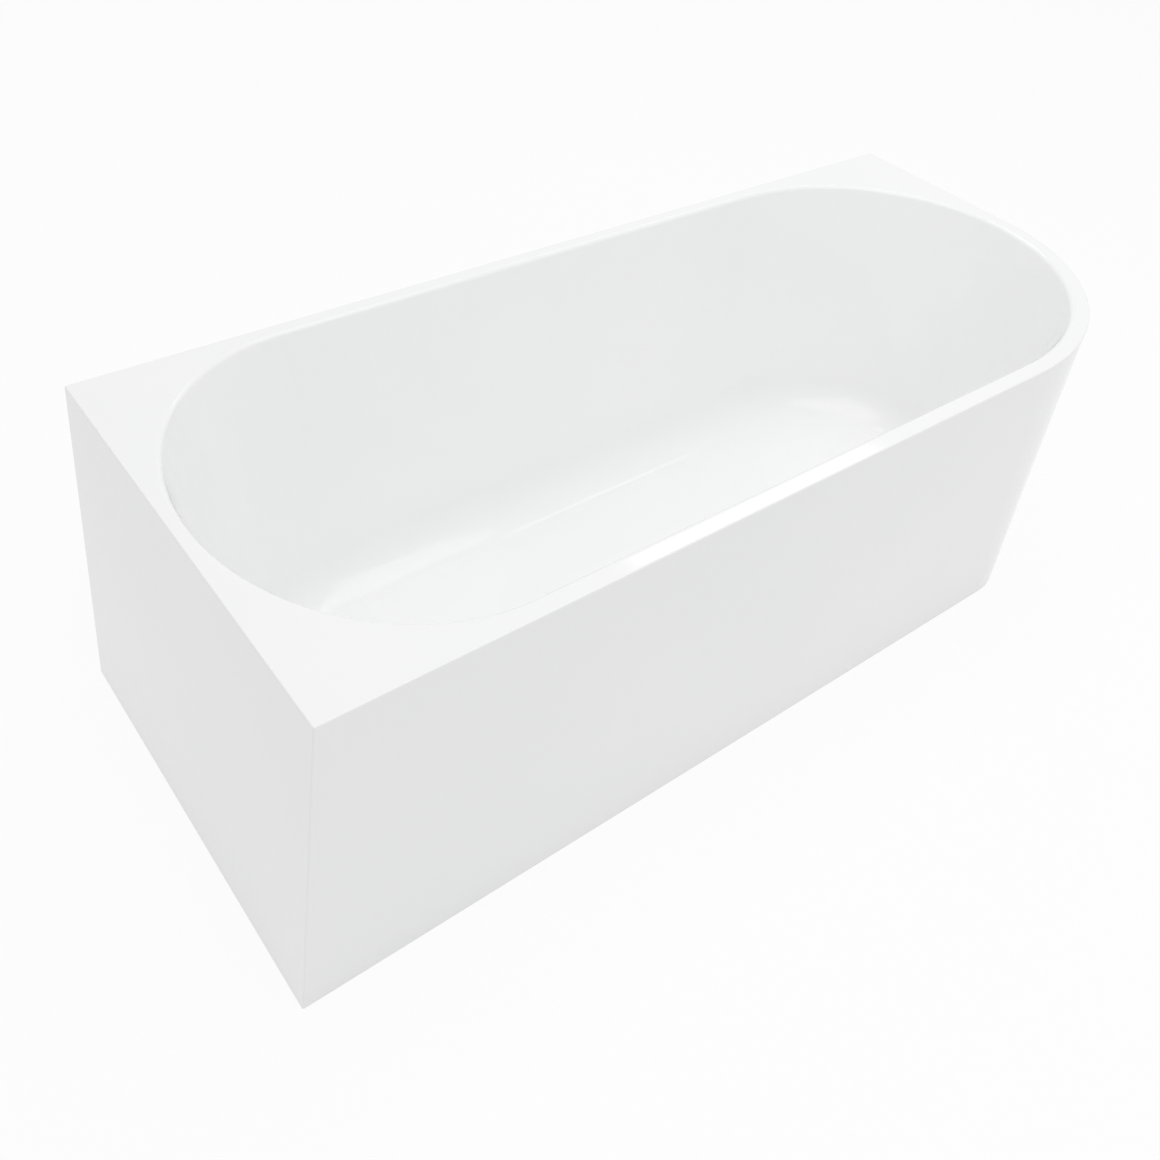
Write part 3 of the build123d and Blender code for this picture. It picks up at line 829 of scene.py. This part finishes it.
class BATH_OT_steel_frame(bpy.types.Operator):
    """Finish the rails and their caps, and weld the frame"""

    bl_idname = "bath.steel_frame"
    bl_label = "Build Steel Frame"

    def execute(self, context):
        finishes = context.scene.bath_finishes
        sizes = context.scene.bath_frame
        long_rails = ("frame_rail_front", "frame_rail_back")
        cross_rails = ("cross_rail_left", "cross_rail_middle", "cross_rail_right")
        dress(zinc_material("zinc_long_rail", finishes, stretch=(9, 650, 650)), *long_rails)
        dress(zinc_material("zinc_cross_rail", finishes, stretch=(650, 9, 650)), *cross_rails)
        plastic = moulded_material("cap_plastic", finishes.foot_plastic, 0.03, 0.5, finishes)
        dress(plastic, "rail_end_caps")
        welds = bmesh.new()
        bead = weld_bead(sizes.bead_length, sizes.bead_radius, sizes.ripple)
        for cross_rail in cross_rails:
            middle, bottom, top = place_of(cross_rail)
            for long_rail in long_rails:
                low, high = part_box(long_rail)
                for y in (low[1], high[1]):
                    add_shape(welds, bead.copy(), Matrix.Translation((middle.x, y, top)))
        tack = weld_bead(sizes.tack_length, sizes.bead_radius * 0.6, sizes.ripple)
        beside = context.scene.bath_feet.nut_flats / 2
        for number in FEET:
            middle = place_of(f"foot_stud_{number}")[0]
            for y in (middle.y - beside, middle.y + beside):
                add_shape(welds, tack.copy(), Matrix.Translation((middle.x, y, bottom)))
        finish_piece("frame_welds", welds, "bath", weld_material(finishes), sharp=60)
        return {"FINISHED"}


class BATH_OT_nuts(bpy.types.Operator):
    """Cut the nuts of the feet and finish the board screws"""

    bl_idname = "bath.nuts"
    bl_label = "Build Nuts"

    def execute(self, context):
        finishes = context.scene.bath_finishes
        sizes = context.scene.bath_feet
        zinc = zinc_material("zinc_fixings", finishes, stretch=(300, 300, 300))
        dress(zinc, "board_screws")
        for name, node in (("welded_nuts", "foot_weld_nuts"), ("locking_nuts", "foot_lock_nuts")):
            low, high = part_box(node)
            nuts = bmesh.new()
            bore = sizes.stud_radius + sizes.nut_fit
            nut = drilled_nut(sizes.nut_flats, low[2], high[2] - low[2], bore)
            for number in FEET:
                middle = place_of(f"foot_stud_{number}")[0]
                add_shape(nuts, nut.copy(), Matrix.Translation(middle))
            finish_piece(name, nuts, "bath", zinc, [node], sharp=20)
        return {"FINISHED"}


class BATH_OT_studs(bpy.types.Operator):
    """Wind the threaded studs with their collars and balls"""

    bl_idname = "bath.studs"
    bl_label = "Build Studs"

    def execute(self, context):
        sizes = context.scene.bath_feet
        zinc = zinc_material("zinc_studs", context.scene.bath_finishes, stretch=(300, 300, 300))
        collar_top = sizes.collar_bottom + sizes.collar_height
        middle, bottom, top = place_of("foot_stud_1")
        stud = wound_thread(
            sizes.stud_radius, sizes.thread_depth, sizes.pitch, collar_top, top,
            steps=24, chamfer=sizes.thread_depth,
        )
        bmesh.ops.holes_fill(stud, edges=[edge for edge in stud.edges if edge.is_boundary], sides=0)
        add_shape(stud, hexagon(sizes.collar_flats, sizes.collar_bottom, sizes.collar_height))
        ball_level = bottom + sizes.ball_radius
        profile = [(0, bottom)]
        for angle in range(-80, 50, 10):
            across = sizes.ball_radius * math.cos(math.radians(angle))
            profile.append((across, ball_level + sizes.ball_radius * math.sin(math.radians(angle))))
        neck = math.sqrt(sizes.ball_radius ** 2 - sizes.neck_radius ** 2)
        profile += [
            (sizes.neck_radius, ball_level + neck), (sizes.neck_radius, sizes.collar_bottom),
            (0, sizes.collar_bottom),
        ]
        add_shape(stud, turned(profile, steps=32, closed=False))
        finish_at_feet("stud_{}_thread", stud, "stud", "foot_stud", zinc, sharp=28)
        return {"FINISHED"}


class BATH_OT_foot_pads(bpy.types.Operator):
    """Mould the ribbed foot pads"""

    bl_idname = "bath.foot_pads"
    bl_label = "Build Foot Pads"

    def execute(self, context):
        finishes = context.scene.bath_finishes
        sizes = context.scene.bath_feet
        plastic = moulded_material("foot_plastic", finishes.foot_plastic, 0.03, 0.5, finishes)
        low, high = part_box("foot_pad_1")
        radius, top = (high[0] - low[0]) / 2, high[2]
        socket = sizes.ball_radius + sizes.socket_fit
        centre = sizes.socket_floor + socket
        mouth = math.acos((top - centre) / socket)
        hollow = 1.0 * MM
        rim, hub, web = sizes.pad_edge, sizes.pad_hub, sizes.pad_web
        profile = [
            (0, 0), (radius, 0), (radius, rim), (radius - rim / 2, rim),
            (hub + hollow, web), (hub, web + hollow), (hub, top),
        ]
        steps = 10
        for step in range(steps):
            angle = mouth + (math.pi - mouth) * step / steps
            profile.append((socket * math.sin(angle), centre + socket * math.cos(angle)))
        profile.append((0, sizes.socket_floor))
        pad = turned(profile, steps=64, closed=False)
        soften(pad, width=0.7 * MM)
        corners = (
            (hub - OVERLAP, rim - OVERLAP), (radius - OVERLAP, rim - OVERLAP),
            (radius - OVERLAP, rim), (hub - OVERLAP, sizes.rib_top),
        )
        rib = bmesh.new()
        face = rib.faces.new([rib.verts.new((x, -sizes.rib_thickness / 2, z)) for x, z in corners])
        grown = bmesh.ops.extrude_face_region(rib, geom=[face], use_keep_orig=True)["geom"]
        moved = only(grown, bmesh.types.BMVert)
        bmesh.ops.translate(rib, vec=(0, sizes.rib_thickness, 0), verts=moved)
        bmesh.ops.recalc_face_normals(rib, faces=rib.faces)
        soften(rib, width=0.3 * MM)
        repeat_round(rib, sizes.ribs)
        add_shape(pad, rib)
        finish_at_feet("pad_{}_ribbed", pad, "foot", "foot_pad", plastic)
        return {"FINISHED"}


class BATH_OT_waste(bpy.types.Operator):
    """Turn the waste flange with its thread and web, and finish the plug and gaskets"""

    bl_idname = "bath.waste"
    bl_label = "Build Waste"

    def execute(self, context):
        finishes = context.scene.bath_finishes
        sizes = context.scene.bath_waste
        middle, bottom, top = place_of("waste_flange")
        low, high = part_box("waste_flange")
        radius = (high[0] - low[0]) / 2
        root = sizes.barrel_radius - sizes.thread_depth - 0.05 * MM
        relief_top = sizes.relief_bottom + sizes.relief_width
        relief = sizes.barrel_radius - sizes.relief_depth
        under = top - sizes.flange_thickness
        flange = turned((
            (sizes.bore, bottom), (sizes.bore, top - sizes.seat), (sizes.bore + sizes.seat, top),
            (radius, top), (radius, under),
            (sizes.barrel_radius, under), (sizes.barrel_radius, relief_top),
            (relief, relief_top), (relief, sizes.relief_bottom),
            (root, sizes.relief_bottom), (root, bottom),
        ), steps=96)
        soften(flange, width=0.35 * MM)
        thread = wound_thread(
            sizes.barrel_radius, sizes.thread_depth, sizes.pitch, bottom + 0.4 * MM,
            sizes.relief_bottom, steps=48, chamfer=sizes.thread_chamfer,
        )
        rims = [edge for edge in thread.edges if edge.is_boundary]
        grown = bmesh.ops.extrude_edge_only(thread, edges=rims)["geom"]
        for vert in only(grown, bmesh.types.BMVert):
            pull_in(vert, root - OVERLAP)
        inner = [edge for edge in only(grown, bmesh.types.BMEdge) if edge.is_boundary]
        bmesh.ops.bridge_loops(thread, edges=inner)
        add_shape(flange, thread)
        web_top = sizes.web_bottom + sizes.web_height
        hub = turned((
            (sizes.hub_bore, sizes.web_bottom), (sizes.hub_radius, sizes.web_bottom),
            (sizes.hub_radius, web_top), (sizes.hub_bore, web_top),
        ), steps=48)
        soften(hub, width=0.4 * MM)
        add_shape(flange, hub)
        arm = bmesh.new()
        start, end = sizes.hub_radius - OVERLAP, sizes.bore + OVERLAP / 2
        bmesh.ops.create_cube(arm, size=1, matrix=Matrix.Translation(
            ((start + end) / 2, 0, sizes.web_bottom + sizes.web_height / 2)
        ) @ Matrix.Diagonal((end - start, sizes.web_thickness, sizes.web_height, 1)))
        soften(arm, width=0.4 * MM)
        repeat_round(arm, sizes.arms)
        add_shape(flange, arm)
        bmesh.ops.translate(flange, vec=middle, verts=flange.verts)
        chrome = chrome_material(finishes)
        finish_piece("waste_body", flange, "bath", chrome, ["waste_flange"], sharp=30)
        dress(chrome, "waste_plug")
        rubber = moulded_material("seal_rubber", finishes.rubber, 0.02, 0.0, finishes)
        dress(rubber, "waste_upper_gasket", "waste_lower_gasket", "plug_seal")
        white = moulded_material("nut_plastic", finishes.nut_plastic, 0.015, 0.25, finishes)
        dress(white, "waste_back_nut", "waste_slip_washer", "waste_cartridge")
        return {"FINISHED"}


class BATH_OT_studio(bpy.types.Operator):
    """Set up the floor, the lamps, the white surroundings and the camera"""

    bl_idname = "bath.studio"
    bl_label = "Set Up Studio"

    def execute(self, context):
        studio = context.scene.bath_studio
        self.make_camera(context, studio)
        self.make_floor(context, studio)
        self.make_world(context, studio)
        self.make_lamp(
            context, "softbox",
            place=(1.50, 1.02, 2.2), size=(1.15, 0.46), power=studio.softbox_power,
        )
        self.make_lamp(
            context, "overhead_panel",
            place=(0.0, -0.7, 3.4), size=(3.0, 3.0), power=studio.overhead_power,
        )
        context.scene.view_settings.view_transform = "Standard"
        return {"FINISHED"}

    def make_camera(self, context, studio):
        """Camera at the photograph's place, turned round its view."""
        lens = bpy.data.cameras.new("photo_camera")
        lens.sensor_width = 36
        lens.lens = lens.sensor_width * studio.focal_pixels / studio.picture_side
        lens.shift_x = (studio.picture_side / 2 - studio.centre_across) / studio.picture_side
        lens.shift_y = (studio.centre_down - studio.picture_side / 2) / studio.picture_side
        camera = bpy.data.objects.new("photo_camera", lens)
        context.scene.collection.objects.link(camera)
        view = Vector((
            math.cos(studio.tilt) * math.cos(studio.heading),
            math.cos(studio.tilt) * math.sin(studio.heading),
            -math.sin(studio.tilt),
        ))
        level = Vector((math.sin(studio.heading), -math.cos(studio.heading), 0))
        upright = level.cross(view)
        across = math.cos(studio.roll) * level + math.sin(studio.roll) * upright
        up = math.cos(studio.roll) * upright - math.sin(studio.roll) * level
        turn = Matrix((across, up, -view)).transposed().to_4x4()
        camera.matrix_world = Matrix.Translation(studio.camera_place) @ turn
        context.scene.camera = camera

    def white_when_seen(self, tree):
        """1 for the camera and for what it sees in gloss or through glass, else 0."""
        path = tree.nodes.new("ShaderNodeLightPath").outputs
        gloss = maths(tree, "MAXIMUM", path["Is Glossy Ray"], path["Is Transmission Ray"])
        return maths(tree, "MAXIMUM", path["Is Camera Ray"], gloss)

    def make_floor(self, context, studio):
        """Wide pale floor that looks white and keeps a light shadow."""
        shape = bmesh.new()
        bmesh.ops.create_grid(shape, x_segments=8, y_segments=8, size=30)
        mesh = bpy.data.meshes.new("studio_floor")
        shape.to_mesh(mesh)
        shape.free()
        floor = bpy.data.objects.new("studio_floor", mesh)
        context.scene.collection.objects.link(floor)
        material = bpy.data.materials.new("studio_floor")
        material.use_nodes = True
        tree = material.node_tree
        pale = tree.nodes["Principled BSDF"]
        pale.inputs["Base Color"].default_value = (0.93, 0.93, 0.93, 1)
        pale.inputs["Roughness"].default_value = 0.9
        pale.inputs["Specular IOR Level"].default_value = 0.1
        white = add_node(tree, "ShaderNodeEmission", Strength=1.0)
        share = maths(tree, "MULTIPLY", self.white_when_seen(tree), studio.floor_white)
        mixed = add_node(tree, "ShaderNodeMixShader", Fac=share)
        tree.links.new(pale.outputs[0], mixed.inputs[1])
        tree.links.new(white.outputs[0], mixed.inputs[2])
        tree.links.new(mixed.outputs[0], tree.nodes["Material Output"].inputs["Surface"])
        mesh.materials.append(material)

    def make_world(self, context, studio):
        """White surroundings and an even light."""
        world = bpy.data.worlds.new("studio")
        world.use_nodes = True
        tree = world.node_tree
        even = tree.nodes["Background"]
        even.inputs["Color"].default_value = (1, 1, 1, 1)
        even.inputs["Strength"].default_value = studio.ambient
        white = add_node(tree, "ShaderNodeBackground", Color=(1, 1, 1, 1), Strength=1.0)
        mixed = add_node(tree, "ShaderNodeMixShader", Fac=self.white_when_seen(tree))
        tree.links.new(even.outputs[0], mixed.inputs[1])
        tree.links.new(white.outputs[0], mixed.inputs[2])
        tree.links.new(mixed.outputs[0], tree.nodes["World Output"].inputs["Surface"])
        context.scene.world = world

    def make_lamp(self, context, name, place, size, power):
        """Rectangular lamp that looks down."""
        lamp = bpy.data.lights.new(name, "AREA")
        lamp.shape = "RECTANGLE"
        lamp.size, lamp.size_y = size
        lamp.energy = power
        holder = bpy.data.objects.new(name, lamp)
        holder.location = place
        context.scene.collection.objects.link(holder)


class BATH_PT_workshop(bpy.types.Panel):
    """List of the steps and their settings"""

    bl_idname = "BATH_PT_workshop"
    bl_label = "Corner Bath"
    bl_space_type = "VIEW_3D"
    bl_region_type = "UI"
    bl_category = "Bath"

    def draw(self, context):
        for step in STEPS:
            self.layout.operator(step.bl_idname)
        for group in SETTINGS:
            box = self.layout.box()
            settings = getattr(context.scene, group)
            for name in settings.bl_rna.properties.keys():
                if name not in ("rna_type", "name"):
                    box.prop(settings, name)


STEPS = (
    BATH_OT_shells, BATH_OT_boards, BATH_OT_steel_frame, BATH_OT_nuts,
    BATH_OT_studs, BATH_OT_foot_pads, BATH_OT_waste, BATH_OT_studio,
)
SETTINGS = {
    "bath_finishes": BathFinishes,
    "bath_feet": FootSizes,
    "bath_waste": WasteSizes,
    "bath_frame": FrameSizes,
    "bath_studio": StudioSettings,
}
CLASSES = (*SETTINGS.values(), *STEPS, BATH_PT_workshop)


def register():
    """Register the classes and their settings."""
    for item in CLASSES:
        bpy.utils.register_class(item)
    for name, group in SETTINGS.items():
        setattr(bpy.types.Scene, name, PointerProperty(type=group))


def unregister():
    """Take the settings and classes away again."""
    for name in SETTINGS:
        delattr(bpy.types.Scene, name)
    for item in reversed(CLASSES):
        bpy.utils.unregister_class(item)


def main():
    """Finish the bath in its order of work."""
    register()
    bpy.ops.bath.shells()
    bpy.ops.bath.boards()
    bpy.ops.bath.steel_frame()
    bpy.ops.bath.nuts()
    bpy.ops.bath.studs()
    bpy.ops.bath.foot_pads()
    bpy.ops.bath.waste()
    bpy.ops.bath.studio()


if __name__ == "__main__":
    main()
